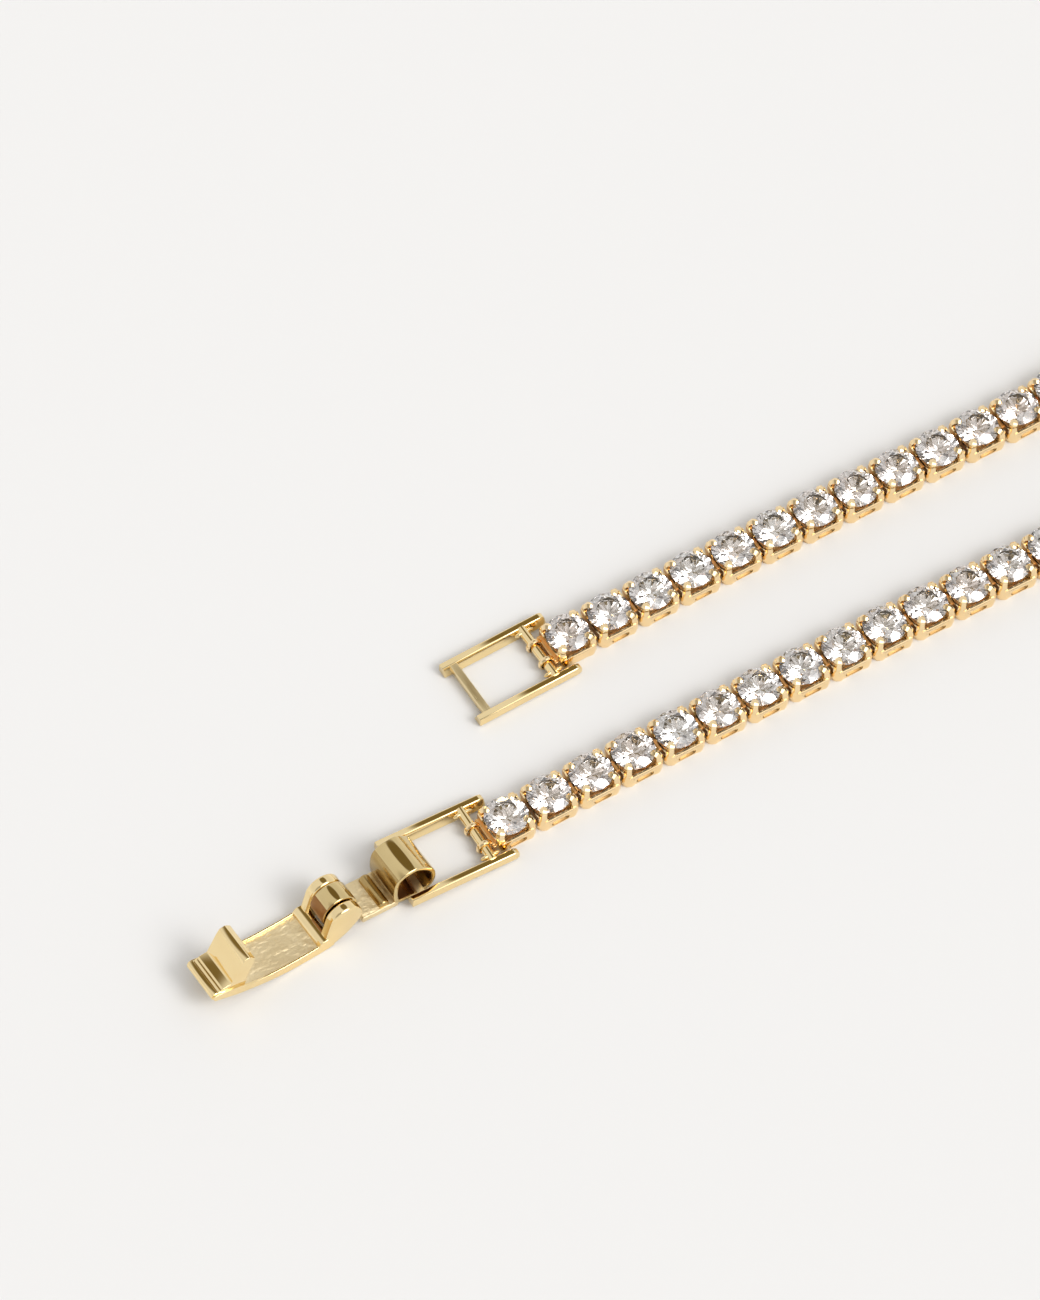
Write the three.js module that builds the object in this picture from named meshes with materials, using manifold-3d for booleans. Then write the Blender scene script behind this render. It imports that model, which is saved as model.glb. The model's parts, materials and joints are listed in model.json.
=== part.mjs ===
// Tennis necklace with a ladder fold-over clasp, lying open on a flat surface with its stones up.
// Millimetres, +Z up. Along the clasp ends +X runs away from the clasp, +Y across the chain.
import * as THREE from 'three';
import { ConvexGeometry } from 'three/addons/geometries/ConvexGeometry.js';
import { mergeVertices } from 'three/addons/utils/BufferGeometryUtils.js';
import Module from 'manifold-3d';

const wasm = await Module();
wasm.setup();

// Chain links: square boxes with cut corners, a stone and four claws on top.
const LINK_SIDE = 3.3;
const CORNER_CUT = 0.5;
const RIM_LEVEL = 1.5;
const CROWN_LEVEL = 2.05;
const CROWN_SHARE = 0.66;
const BAR_WIDTH = 1.0;
const BAR_HEIGHT = 0.45;
const BAR_LEVEL = 0.7;
const BAR_REACH = 0.3;

// Straight steps in each arc of a side view, and round the bars.
const ARC_STEPS = 9;
const BAR_SIDES = 16;
const PIN_SIDES = 24;
const KNUCKLE_SIDES = 32;

// Vertices closer than this are one, and a cut runs this far past what it cuts.
const MERGE_DISTANCE = 1e-4;
const CUT_MARGIN = 0.5;

// The way the chain lies, from the hook end round to the catch end: lengths in mm, left turns in degrees.
const ROUTE = [
  { stretch: 'hook strand', length: 49.7, turn: -2 },
  { stretch: 'hook flare', length: 39.7, turn: -55 },
  { stretch: 'bow', length: 212.6, turn: 291 },
  { stretch: 'catch flare', length: 39.7, turn: -55 },
  { stretch: 'catch strand', length: 38.1, turn: 1 },
];

// The links in order along the route, joined in runs of one solid each.
const RUNS = [
  { name: 'end_link_hook', links: 1 },
  { name: 'links_hook_strand', links: 13 },
  { name: 'links_bow_1', links: 14 },
  { name: 'links_bow_2', links: 14 },
  { name: 'links_bow_3', links: 14 },
  { name: 'links_bow_4', links: 14 },
  { name: 'links_bow_5', links: 14 },
  { name: 'links_bow_6', links: 14 },
  { name: 'links_catch_strand', links: 9 },
  { name: 'end_link_catch', links: 1 },
];

// Ladder frames: two side bars joined by an end bar and, beside the chain, a round cross bar.
const FRAME_WIDTH = 5.7;
const FRAME_START = -9.1;
const FRAME_END = -0.35;
const SIDE_BASE = 0.85;
const SIDE_TOP = 0.45;
const SIDE_HEIGHT = 0.95;
const SIDE_TIP = 0.4;
const END_BAR_X = -8.2;
const END_BAR_WIDTH = 0.62;
const END_BAR_LOW = 0.32;
const END_BAR_HIGH = 0.88;
const CROSS_BAR_X = -2.35;
const CROSS_BAR_LEVEL = 0.68;
const CROSS_BAR_RADIUS = 0.32;

// Eyes of an end link, round the cross bar, each on a short neck.
const EYE_OUTER = 0.67;
const EYE_INNER = 0.42;
const EYE_THICKNESS = 0.4;
const EYE_OFFSET = 0.75;
const EYE_LEVEL = 0.72;
const NECK_HEIGHT = 0.5;

// Hinge between tongue and lever, measured from the middle of the hook frame's end bar.
const HINGE_X = -6.3;
const HINGE_LEVEL = 0.6;
const KNUCKLE_RADIUS = 1.45;
const KNUCKLE_WIDTH = 1.6;
const HINGE_GAP = 0.08;
const EAR_RADIUS = 1.35;
const EAR_THICKNESS = 0.82;
const EAR_ARC = { from: -40, to: 160 };
const EAR_FOOT = [
  { x: -1.9, z: -1.0 },
  { x: -2.2, z: -2.0 },
  { x: -1.6, z: -2.27 },
  { x: -0.5, z: -1.95 },
];
const PIN_RADIUS = 0.35;
const PIN_CLEARANCE = 0.06;
const PIN_LENGTH = 2.7;

// Tongue, about the end bar: a strip that curls round the bar, and a plate that ends in the knuckle.
const TONGUE_WIDTH = 3.1;
const CURL_WIDTH = 3.2;
const STRIP_THICKNESS = 0.36;
const TONGUE_THICKNESS = 0.55;
const TONGUE_BOTTOM = HINGE_LEVEL - KNUCKLE_RADIUS;
const PLATE_START = HINGE_X + KNUCKLE_RADIUS + 0.2;
const WEB_OVERLAP = 0.4;
const WEB_RISE = 0.15;
const LIP_START = -2.85;
const LIP_HEIGHT = 0.3;
const CURL_OUTLINE = [
  { x: -2.15, z: 0.0 },
  { x: -1.72, z: 1.9 },
  { x: -1.2, z: 2.55 },
  { x: -0.3, z: 2.55 },
  { x: 0.95, z: 1.7 },
  { x: 1.38, z: 0.75 },
  { x: 1.28, z: -0.25 },
  { x: 0.6, z: -0.8 },
  { x: -0.6, z: -0.88 },
  { x: -1.75, z: -0.72 },
];
const CURL_STEPS = 40;

// Lever, about the hinge: an arched plate with a tray between rims, two ears and a folded hook.
const LEVER_WIDTH = 3.5;
const RIM_WIDTH = 0.3;
const HOOK_WIDTH = 2.9;
const LEVER_OUTLINE = [
  { x: -0.6, z: -2.1 },
  { x: -0.6, z: -1.75 },
  { x: -1.6, z: -1.7 },
  { x: -1.6, z: -0.7 },
  { x: -1.85, z: -0.7 },
  { x: -2.45, z: -1.4 },
  { x: -4.0, z: -1.42 },
  { x: -5.4, z: -1.36 },
  { x: -7.0, z: -1.15 },
  { x: -8.0, z: -0.9 },
  { x: -8.9, z: -0.5 },
  { x: -11.0, z: 0.15 },
  { x: -11.3, z: 0.05 },
  { x: -11.42, z: -0.25 },
  { x: -11.25, z: -0.5 },
  { x: -9.3, z: -1.25 },
  { x: -7.9, z: -1.68 },
  { x: -6.0, z: -2.12 },
  { x: -4.2, z: -2.3 },
  { x: -2.4, z: -2.32 },
  { x: -1.2, z: -2.25 },
];
const TRAY_OUTLINE = [
  { x: -2.5, z: -1.8 },
  { x: -1.85, z: -0.9 },
  { x: -1.85, z: -0.2 },
  { x: -7.4, z: -0.2 },
  { x: -8.6, z: -0.7 },
  { x: -8.4, z: -1.15 },
  { x: -7.0, z: -1.52 },
  { x: -5.4, z: -1.75 },
  { x: -4.0, z: -1.83 },
];
const HOOK_OUTLINE = [
  { x: -11.2, z: -0.2 },
  { x: -11.0, z: 0.17 },
  { x: -9.8, z: 0.17 },
  { x: -8.7, z: 1.75 },
  { x: -8.4, z: 2.15 },
  { x: -8.0, z: 2.3 },
  { x: -7.68, z: 2.1 },
  { x: -7.6, z: 1.75 },
  { x: -8.15, z: 0.3 },
  { x: -8.6, z: -0.9 },
  { x: -9.3, z: -1.05 },
];

// How the clasp pieces lie: turned in plan against their strands, and tilted with the end bar raised.
const HOOK_FRAME_YAW = -1.5;
const HOOK_FRAME_SHIFT = 0.25;
const HOOK_FRAME_LEVEL = 0.76;
const HOOK_FRAME_TILT = 2.5;
const CATCH_FRAME_YAW = 0.8;
const CATCH_FRAME_SHIFT = 0.2;
const TONGUE_YAW = 3.0;
const TONGUE_SHIFT = -0.24;
const TONGUE_TILT = 7.4;

const GOLD = new THREE.MeshStandardMaterial({ color: 0xdcc07a, roughness: 0.16, metalness: 1 });
const STONE_SET_GOLD = new THREE.MeshStandardMaterial({ color: 0xe6c98c, roughness: 0.2, metalness: 1 });

function toSolid(geometry) {
  const bare = geometry.clone();
  bare.deleteAttribute('normal');
  bare.deleteAttribute('uv');
  const merged = mergeVertices(bare, MERGE_DISTANCE);
  return new wasm.Manifold(new wasm.Mesh({
    numProp: 3,
    vertProperties: new Float32Array(merged.attributes.position.array),
    triVerts: new Uint32Array(merged.index.array),
  }));
}

function toGeometry(solid) {
  const mesh = solid.getMesh();
  const geometry = new THREE.BufferGeometry();
  geometry.setAttribute('position', new THREE.BufferAttribute(mesh.vertProperties, 3));
  geometry.setIndex(new THREE.BufferAttribute(mesh.triVerts, 1));
  geometry.computeVertexNormals();
  return geometry;
}

function piece(name, solid, material) {
  const mesh = new THREE.Mesh(toGeometry(solid), material.clone());
  mesh.name = name;
  return mesh;
}

function join(solids) {
  return solids.reduce((whole, next) => whole.add(next));
}

// A side view (x along the clasp, y upwards) given thickness across the clasp, about the line y = centre.
function slab(shape, width, centre = 0) {
  const geometry = new THREE.ExtrudeGeometry(shape, {
    depth: width,
    bevelEnabled: false,
    curveSegments: ARC_STEPS,
  });
  geometry.rotateX(Math.PI / 2);
  geometry.translate(0, centre + width / 2, 0);
  return toSolid(geometry);
}

function outline(points) {
  return new THREE.Shape(points.map(({ x, z }) => new THREE.Vector2(x, z)));
}

function block(low, high) {
  const size = new THREE.Vector3().subVectors(high, low);
  const geometry = new THREE.BoxGeometry(size.x, size.y, size.z);
  geometry.translate(low.x + size.x / 2, low.y + size.y / 2, low.z + size.z / 2);
  return toSolid(geometry);
}

// A round bar across the clasp, its axis through (x, z).
function crossRod(x, z, radius, length, sides = PIN_SIDES) {
  const geometry = new THREE.CylinderGeometry(radius, radius, length, sides);
  geometry.translate(x, 0, z);
  return toSolid(geometry);
}

// Place and heading (radians) at a distance along the route.
function routeAt(distance) {
  let x = 0;
  let y = 0;
  let heading = 0;
  let left = distance;
  for (const { length, turn } of ROUTE) {
    const bend = THREE.MathUtils.degToRad(turn) / length;
    const run = Math.min(left, length);
    const end = heading + bend * run;
    x += (Math.sin(end) - Math.sin(heading)) / bend;
    y += (Math.cos(heading) - Math.cos(end)) / bend;
    heading = end;
    left -= run;
    if (left <= 0) {
      break;
    }
  }
  return { x, y, heading };
}

function routePlacement({ x, y, heading }) {
  return new THREE.Matrix4().makeRotationZ(heading).setPosition(x, y, 0);
}

// One link about its own centre: box with cut corners up to the rim, then the crown in to the claw tips.
function linkGeometry() {
  const half = LINK_SIDE / 2;
  const cut = half - CORNER_CUT;
  const ring = [[half, cut], [cut, half], [-cut, half], [-half, cut]];
  const corners = [...ring, ...ring.map(([x, y]) => [-x, -y])];
  const points = corners.flatMap(([x, y]) => [
    new THREE.Vector3(x, y, 0),
    new THREE.Vector3(x, y, RIM_LEVEL),
    new THREE.Vector3(x * CROWN_SHARE, y * CROWN_SHARE, CROWN_LEVEL),
  ]);
  return new ConvexGeometry(points);
}

function chainRuns() {
  const total = ROUTE.reduce((sum, { length }) => sum + length, 0);
  const count = RUNS.reduce((sum, { links }) => sum + links, 0);
  const pitch = total / (count - 1);
  const barLength = pitch - LINK_SIDE + 2 * BAR_REACH;
  const link = linkGeometry();
  const bar = new THREE.BoxGeometry(barLength, BAR_WIDTH, BAR_HEIGHT).translate(0, 0, BAR_LEVEL);
  let first = 0;
  return RUNS.map(({ name, links }) => {
    const solids = [];
    for (let i = first; i < first + links; i += 1) {
      const place = routePlacement(routeAt(i * pitch));
      solids.push(toSolid(link.clone().applyMatrix4(place)));
      if (i < first + links - 1) {
        const between = routePlacement(routeAt((i + 0.5) * pitch));
        solids.push(toSolid(bar.clone().applyMatrix4(between)));
      }
    }
    first += links;
    return { name, solid: join(solids) };
  });
}

// The pair of eyes that an end link closes round the cross bar of its frame.
function linkEyes() {
  const ring = new THREE.Shape();
  ring.absarc(CROSS_BAR_X, EYE_LEVEL, EYE_OUTER, 0, 2 * Math.PI, false);
  const hole = new THREE.Path();
  hole.absarc(CROSS_BAR_X, EYE_LEVEL, EYE_INNER, 0, 2 * Math.PI, true);
  ring.holes.push(hole);
  const neckStart = CROSS_BAR_X + (EYE_INNER + EYE_OUTER) / 2;
  const neckEnd = -LINK_SIDE / 2 + BAR_REACH;
  const solids = [-EYE_OFFSET, EYE_OFFSET].flatMap((offset) => [
    slab(ring, EYE_THICKNESS, offset),
    block(
      new THREE.Vector3(neckStart, offset - EYE_THICKNESS / 2, EYE_LEVEL - NECK_HEIGHT / 2),
      new THREE.Vector3(neckEnd, offset + EYE_THICKNESS / 2, EYE_LEVEL + NECK_HEIGHT / 2),
    ),
  ]);
  return join(solids);
}

function sideBar(side) {
  const outer = (side * FRAME_WIDTH) / 2;
  const section = outline([
    { x: outer, z: 0 },
    { x: outer, z: SIDE_HEIGHT },
    { x: outer - side * SIDE_TOP, z: SIDE_HEIGHT },
    { x: outer - side * SIDE_BASE, z: 0 },
  ]);
  const length = FRAME_END - FRAME_START;
  const geometry = new THREE.ExtrudeGeometry(section, { depth: length, bevelEnabled: false });
  const alongX = new THREE.Matrix4().makeBasis(
    new THREE.Vector3(0, 1, 0),
    new THREE.Vector3(0, 0, 1),
    new THREE.Vector3(1, 0, 0),
  );
  geometry.applyMatrix4(alongX.setPosition(FRAME_START, 0, 0));
  const profile = new THREE.Shape();
  profile.moveTo(FRAME_START, 0);
  profile.lineTo(FRAME_END - SIDE_TIP, 0);
  profile.absarc(FRAME_END - SIDE_TIP, SIDE_TIP, SIDE_TIP, -Math.PI / 2, 0, false);
  profile.lineTo(FRAME_END, SIDE_HEIGHT - SIDE_TIP);
  profile.absarc(FRAME_END - SIDE_TIP, SIDE_HEIGHT - SIDE_TIP, SIDE_TIP, 0, Math.PI / 2, false);
  profile.lineTo(FRAME_START, SIDE_HEIGHT);
  return toSolid(geometry).intersect(slab(profile, FRAME_WIDTH + 2 * CUT_MARGIN));
}

function ladderFrame() {
  const reach = FRAME_WIDTH / 2 - SIDE_BASE / 2;
  const endBar = block(
    new THREE.Vector3(END_BAR_X - END_BAR_WIDTH / 2, -reach, END_BAR_LOW),
    new THREE.Vector3(END_BAR_X + END_BAR_WIDTH / 2, reach, END_BAR_HIGH),
  );
  const crossBar = crossRod(CROSS_BAR_X, CROSS_BAR_LEVEL, CROSS_BAR_RADIUS, 2 * reach, BAR_SIDES);
  return join([sideBar(1), sideBar(-1), endBar, crossBar]);
}

// The curl's closed side view, drawn in by an inset from its outside.
function curlLoop(inset) {
  const points = CURL_OUTLINE.map(({ x, z }) => new THREE.Vector3(x, z, 0));
  const curve = new THREE.CatmullRomCurve3(points, true, 'centripetal');
  const loop = [];
  for (let i = 0; i < CURL_STEPS; i += 1) {
    const at = curve.getPointAt(i / CURL_STEPS);
    const along = curve.getTangentAt(i / CURL_STEPS);
    loop.push({ x: at.x + inset * along.y, z: at.y - inset * along.x });
  }
  return outline(loop);
}

function tongue() {
  const top = TONGUE_BOTTOM + TONGUE_THICKNESS;
  const curlLeft = CURL_OUTLINE[0].x;
  const plate = slab(outline([
    { x: PLATE_START, z: TONGUE_BOTTOM },
    { x: 0, z: TONGUE_BOTTOM },
    { x: 0, z: TONGUE_BOTTOM + STRIP_THICKNESS / 2 },
    { x: curlLeft + STRIP_THICKNESS, z: top - STRIP_THICKNESS / 2 },
    { x: curlLeft + STRIP_THICKNESS / 2, z: top + LIP_HEIGHT },
    { x: LIP_START, z: top + LIP_HEIGHT },
    { x: LIP_START, z: top },
    { x: PLATE_START, z: top },
  ]), TONGUE_WIDTH);
  const curl = slab(curlLoop(0), CURL_WIDTH).subtract(slab(
    curlLoop(STRIP_THICKNESS),
    CURL_WIDTH + 2 * CUT_MARGIN,
  ));
  const knuckle = crossRod(HINGE_X, HINGE_LEVEL, KNUCKLE_RADIUS, KNUCKLE_WIDTH, KNUCKLE_SIDES);
  const web = slab(outline([
    { x: HINGE_X, z: TONGUE_BOTTOM },
    { x: PLATE_START + WEB_OVERLAP, z: TONGUE_BOTTOM },
    { x: PLATE_START + WEB_OVERLAP, z: top },
    { x: HINGE_X + KNUCKLE_RADIUS - WEB_RISE, z: top + WEB_RISE },
    { x: HINGE_X, z: HINGE_LEVEL },
  ]), KNUCKLE_WIDTH);
  const bore = crossRod(
    HINGE_X,
    HINGE_LEVEL,
    PIN_RADIUS + PIN_CLEARANCE,
    KNUCKLE_WIDTH + 2 * CUT_MARGIN,
  );
  return join([plate, curl, knuckle, web]).subtract(bore);
}

// One ear about the hinge: a disc that runs down into the end of the plate.
function leverEar(side) {
  const profile = outline(EAR_FOOT);
  profile.absarc(
    0,
    0,
    EAR_RADIUS,
    THREE.MathUtils.degToRad(EAR_ARC.from),
    THREE.MathUtils.degToRad(EAR_ARC.to),
    false,
  );
  const centre = side * (KNUCKLE_WIDTH / 2 + HINGE_GAP + EAR_THICKNESS / 2);
  return slab(profile, EAR_THICKNESS, centre);
}

function lever() {
  const body = slab(outline(LEVER_OUTLINE), LEVER_WIDTH);
  const tray = slab(outline(TRAY_OUTLINE), LEVER_WIDTH - 2 * RIM_WIDTH);
  const hook = slab(outline(HOOK_OUTLINE), HOOK_WIDTH);
  const bore = crossRod(0, 0, PIN_RADIUS + PIN_CLEARANCE, PIN_LENGTH + 2 * PIN_CLEARANCE);
  return join([body.subtract(tray), hook, leverEar(1), leverEar(-1)]).subtract(bore);
}

function hingePin() {
  return crossRod(0, 0, PIN_RADIUS, PIN_LENGTH);
}

// A group at a place, turned by a yaw in plan and then tilted so that its -X end rises (degrees).
function placed(position, yaw, tilt, children) {
  const group = new THREE.Group();
  group.position.copy(position);
  group.rotation.order = 'ZYX';
  group.rotation.set(0, THREE.MathUtils.degToRad(tilt), THREE.MathUtils.degToRad(yaw));
  group.add(...children);
  return group;
}

// A ladder frame hung on its cross bar, which the group's origin is on.
function hungFrame(name) {
  const frame = piece(name, ladderFrame(), GOLD);
  frame.position.set(-CROSS_BAR_X, 0, -CROSS_BAR_LEVEL);
  return frame;
}

function necklace() {
  const catchEnd = routeAt(ROUTE.reduce((sum, { length }) => sum + length, 0));
  const atCatch = new THREE.Matrix4().makeTranslation(catchEnd.x, catchEnd.y, 0);
  const chain = new THREE.Group();
  for (const { name, solid } of chainRuns()) {
    let whole = solid;
    if (name === 'end_link_hook') {
      whole = solid.add(linkEyes());
    } else if (name === 'end_link_catch') {
      whole = solid.add(linkEyes().transform(atCatch.elements));
    }
    chain.add(piece(name, whole, STONE_SET_GOLD));
  }

  const leverGroup = placed(new THREE.Vector3(HINGE_X, 0, HINGE_LEVEL), 0, -TONGUE_TILT, [
    piece('clasp_lever', lever(), GOLD),
    piece('hinge_pin', hingePin(), GOLD),
  ]);
  const endBarLevel = (END_BAR_LOW + END_BAR_HIGH) / 2;
  const atEndBar = new THREE.Vector3(
    END_BAR_X - CROSS_BAR_X,
    TONGUE_SHIFT,
    endBarLevel - CROSS_BAR_LEVEL,
  );
  const clasp = placed(atEndBar, TONGUE_YAW - HOOK_FRAME_YAW, TONGUE_TILT - HOOK_FRAME_TILT, [
    piece('clasp_tongue', tongue(), GOLD),
    leverGroup,
  ]);
  const hookFrame = placed(
    new THREE.Vector3(CROSS_BAR_X, HOOK_FRAME_SHIFT, HOOK_FRAME_LEVEL),
    HOOK_FRAME_YAW,
    HOOK_FRAME_TILT,
    [hungFrame('hook_frame'), clasp],
  );
  const catchFrame = placed(
    new THREE.Vector3(catchEnd.x + CROSS_BAR_X, catchEnd.y + CATCH_FRAME_SHIFT, CROSS_BAR_LEVEL),
    CATCH_FRAME_YAW,
    0,
    [hungFrame('catch_frame')],
  );

  const whole = new THREE.Group();
  whole.add(chain, hookFrame, catchFrame);
  whole.updateMatrixWorld(true);
  const box = new THREE.Box3().setFromObject(whole, true);
  whole.position.set(-(box.min.x + box.max.x) / 2, -(box.min.y + box.max.y) / 2, -box.min.z);
  return whole;
}

export default necklace();
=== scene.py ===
"""Tennis necklace in yellow gold, lying open with its stones up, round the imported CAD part."""

import json
import logging
import math
import random
from dataclasses import dataclass, field
from enum import Enum, IntEnum

import bmesh
import bpy
from bmesh.types import BMEdge, BMesh, BMFace, BMVert
from mathutils import Matrix, Vector


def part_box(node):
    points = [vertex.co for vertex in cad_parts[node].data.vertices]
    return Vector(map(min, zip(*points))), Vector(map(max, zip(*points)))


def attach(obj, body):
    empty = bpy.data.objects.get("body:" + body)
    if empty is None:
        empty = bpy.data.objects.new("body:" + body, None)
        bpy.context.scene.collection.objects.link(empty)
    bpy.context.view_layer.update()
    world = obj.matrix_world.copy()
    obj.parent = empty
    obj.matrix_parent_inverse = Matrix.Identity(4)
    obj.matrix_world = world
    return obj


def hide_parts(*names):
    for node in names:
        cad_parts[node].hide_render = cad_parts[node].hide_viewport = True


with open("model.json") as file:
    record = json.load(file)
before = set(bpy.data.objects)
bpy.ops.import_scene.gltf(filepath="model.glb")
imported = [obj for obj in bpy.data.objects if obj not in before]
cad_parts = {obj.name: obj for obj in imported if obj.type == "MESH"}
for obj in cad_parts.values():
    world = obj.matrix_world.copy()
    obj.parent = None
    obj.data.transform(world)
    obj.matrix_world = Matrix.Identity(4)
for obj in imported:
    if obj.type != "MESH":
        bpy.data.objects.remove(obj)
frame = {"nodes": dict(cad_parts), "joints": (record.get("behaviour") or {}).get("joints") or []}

LOG = logging.getLogger("necklace")
MM = 0.001
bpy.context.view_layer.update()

Outline = list[tuple[float, float]]
Colour = tuple[float, float, float]

FACING = 0.99  # least cosine of a face that looks along an axis
TOUCH = 0.01  # mm within which two places are the same
WELD = 1e-5  # mm within which corners join
RIM_ANGLE = 60.0  # least angle in degrees of an edge that is rounded
RIM_STEPS = 3  # segments of a rounded edge
CURVE_STEPS = 20  # points between two given points of a smooth curve
LEAST_HALF_ANGLE = 0.05  # radians, so that a flat corner keeps a finite reach
EDGE_SHARE = 0.49  # share of an edge that one rounded corner may take


# ---------------------------------------------------------------- shared shaping


def extrude(
    bm: BMesh, faces: list[BMFace], keep: bool = False
) -> tuple[list[BMVert], list[BMFace]]:
    """Extrude a region of faces without moving it.

    Args:
        bm: the bmesh to change.
        faces: the faces of the region.
        keep: whether those faces stay as the start's cap.

    Returns:
        The new region's corners and faces.
    """
    made = bmesh.ops.extrude_face_region(bm, geom=faces)["geom"]
    if not keep:
        bmesh.ops.delete(bm, geom=faces, context="FACES_ONLY")
    corners = [item for item in made if isinstance(item, BMVert)]
    return corners, [item for item in made if isinstance(item, BMFace)]


def face_outwards(bm: BMesh) -> BMesh:
    """Turn every face outwards and return the same bmesh."""
    bmesh.ops.recalc_face_normals(bm, faces=bm.faces[:])
    return bm


def as_mesh(bm: BMesh, name: str) -> bpy.types.Mesh:
    """Turn a bmesh into a mesh and free it.

    Args:
        bm: the bmesh, which is freed.
        name: name of the mesh.

    Returns:
        The mesh.
    """
    mesh = bpy.data.meshes.new(name)
    bm.to_mesh(mesh)
    bm.free()
    return mesh


def add_object(name: str, data: bpy.types.ID) -> bpy.types.Object:
    """Put an object in the scene.

    Args:
        name: name of the object.
        data: its mesh, light or camera.

    Returns:
        The object.
    """
    obj = bpy.data.objects.new(name, data)
    bpy.context.scene.collection.objects.link(obj)
    return obj


def side_view(outline: Outline, width: float, centre: float = 0.0) -> BMesh:
    """Give a side view a thickness across the clasp.

    Args:
        outline: (x, z) corners in order, in mm.
        width: thickness along Y, in mm.
        centre: Y of the middle of the thickness, in mm.

    Returns:
        A closed bmesh in mm.
    """
    bm = bmesh.new()
    face = bm.faces.new([bm.verts.new((x, centre - width / 2, z)) for x, z in outline])
    moved, _ = extrude(bm, [face], keep=True)
    bmesh.ops.translate(bm, verts=moved, vec=(0.0, width, 0.0))
    return face_outwards(bm)


def soften(bm: BMesh, edges: list[BMEdge], offset: float, segments: int) -> None:
    """Round some edges by a bevel.

    Args:
        bm: the bmesh to change.
        edges: the edges to round.
        offset: bevel offset in mm.
        segments: bevel segments.
    """
    bmesh.ops.bevel(
        bm,
        geom=edges,
        offset=offset,
        offset_type="OFFSET",
        segments=segments,
        profile=0.5,
        affect="EDGES",
        clamp_overlap=True,
        material=-1,
    )


def sharp_edges(bm: BMesh, degrees: float = RIM_ANGLE) -> list[BMEdge]:
    """List the edges whose faces meet at more than an angle.

    Args:
        bm: the bmesh to search.
        degrees: smallest angle between the faces' normals.

    Returns:
        The sharp edges.
    """
    limit = math.radians(degrees)
    return [e for e in bm.edges if len(e.link_faces) == 2 and e.calc_face_angle(0.0) > limit]


def rod(
    radius: float, length: float, x: float, z: float, sides: int, rim: float = 0.0
) -> BMesh:
    """Make a round bar across the clasp.

    Args:
        radius: radius in mm.
        length: length along Y in mm.
        x: X of its axis.
        z: Z of its axis.
        sides: sides of the bar.
        rim: bevel of its end rims in mm.

    Returns:
        A closed bmesh in mm.
    """
    bm = bmesh.new()
    turn = Matrix.Translation((x, 0.0, z)) @ Matrix.Rotation(math.pi / 2, 4, "X")
    ends = {"radius1": radius, "radius2": radius, "depth": length}
    bmesh.ops.create_cone(bm, cap_ends=True, segments=sides, matrix=turn, **ends)
    if rim > 0.0:
        soften(bm, sharp_edges(bm), rim, RIM_STEPS)
    return bm


def box_between(low: Vector, high: Vector, edge: float = 0.0) -> BMesh:
    """Make a block between two corners.

    Args:
        low: lowest corner in mm.
        high: highest corner in mm.
        edge: bevel of all edges in mm.

    Returns:
        A closed bmesh in mm.
    """
    bm = bmesh.new()
    size = high - low
    place = Matrix.Translation((low + high) / 2) @ Matrix.Diagonal((size.x, size.y, size.z, 1.0))
    bmesh.ops.create_cube(bm, size=1.0, matrix=place)
    if edge > 0.0:
        soften(bm, bm.edges[:], edge, RIM_STEPS)
    return bm


def closed_curve(points: Outline, steps: int) -> Outline:
    """Draw a smooth closed curve through side-view points.

    Args:
        points: (x, z) points in order, in mm.
        steps: points of the curve.

    Returns:
        Evenly spread (x, z) points on the curve.
    """
    count = len(points)
    dense = []
    for i in range(count):
        p0, p1, p2, p3 = (Vector(points[(i + k - 1) % count]) for k in range(4))
        for j in range(CURVE_STEPS):
            t = j / CURVE_STEPS
            bend = (2 * p0 - 5 * p1 + 4 * p2 - p3) * t * t
            twist = (3 * p1 - p0 - 3 * p2 + p3) * t * t * t
            dense.append(0.5 * (2 * p1 + (p2 - p0) * t + bend + twist))
    lengths = [(dense[(i + 1) % len(dense)] - dense[i]).length for i in range(len(dense))]
    total = sum(lengths)
    out = []
    i = 0
    passed = 0.0
    for k in range(steps):
        want = total * k / steps
        while passed + lengths[i] < want:
            passed += lengths[i]
            i += 1
        share = (want - passed) / lengths[i]
        point = dense[i].lerp(dense[(i + 1) % len(dense)], share)
        out.append((point.x, point.y))
    return out


def inside_of(points: Outline, distance: float) -> Outline:
    """Shift a closed clockwise or anticlockwise outline inwards.

    Args:
        points: (x, z) corners of the outline.
        distance: shift in mm.

    Returns:
        One shifted point for each corner.
    """
    count = len(points)
    area = sum(
        points[i - 1][0] * points[i][1] - points[i][0] * points[i - 1][1] for i in range(count)
    )
    side = math.copysign(distance, area)
    shifted = []
    for i in range(count):
        before, here, after = (Vector(points[(i + k) % count]) for k in (-1, 0, 1))
        along = ((here - before).normalized() + (after - here).normalized()).normalized()
        shifted.append((here.x - along.y * side, here.y + along.x * side))
    return shifted


def rounded(corners: tuple[tuple[float, float, float], ...], steps: int = 5) -> Outline:
    """Round the corners of an outline.

    Args:
        corners: (x, z, radius) of each corner in order, in mm.
        steps: points on each rounded corner.

    Returns:
        The (x, z) points of the rounded outline.
    """
    points = []
    count = len(corners)
    for i, (x, z, radius) in enumerate(corners):
        here = Vector((x, z))
        before = Vector(corners[i - 1][:2])
        after = Vector(corners[(i + 1) % count][:2])
        if radius <= 0.0:
            points.append((x, z))
            continue
        back = (before - here).normalized()
        on = (after - here).normalized()
        half = max(LEAST_HALF_ANGLE, back.angle(on) / 2)
        room = min((before - here).length, (after - here).length) * EDGE_SHARE
        reach = min(radius / math.tan(half), room)
        start, end = here + back * reach, here + on * reach
        for k in range(steps + 1):
            t = k / steps
            point = start.lerp(here, t).lerp(here.lerp(end, t), t)
            points.append((point.x, point.y))
    return points


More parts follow.
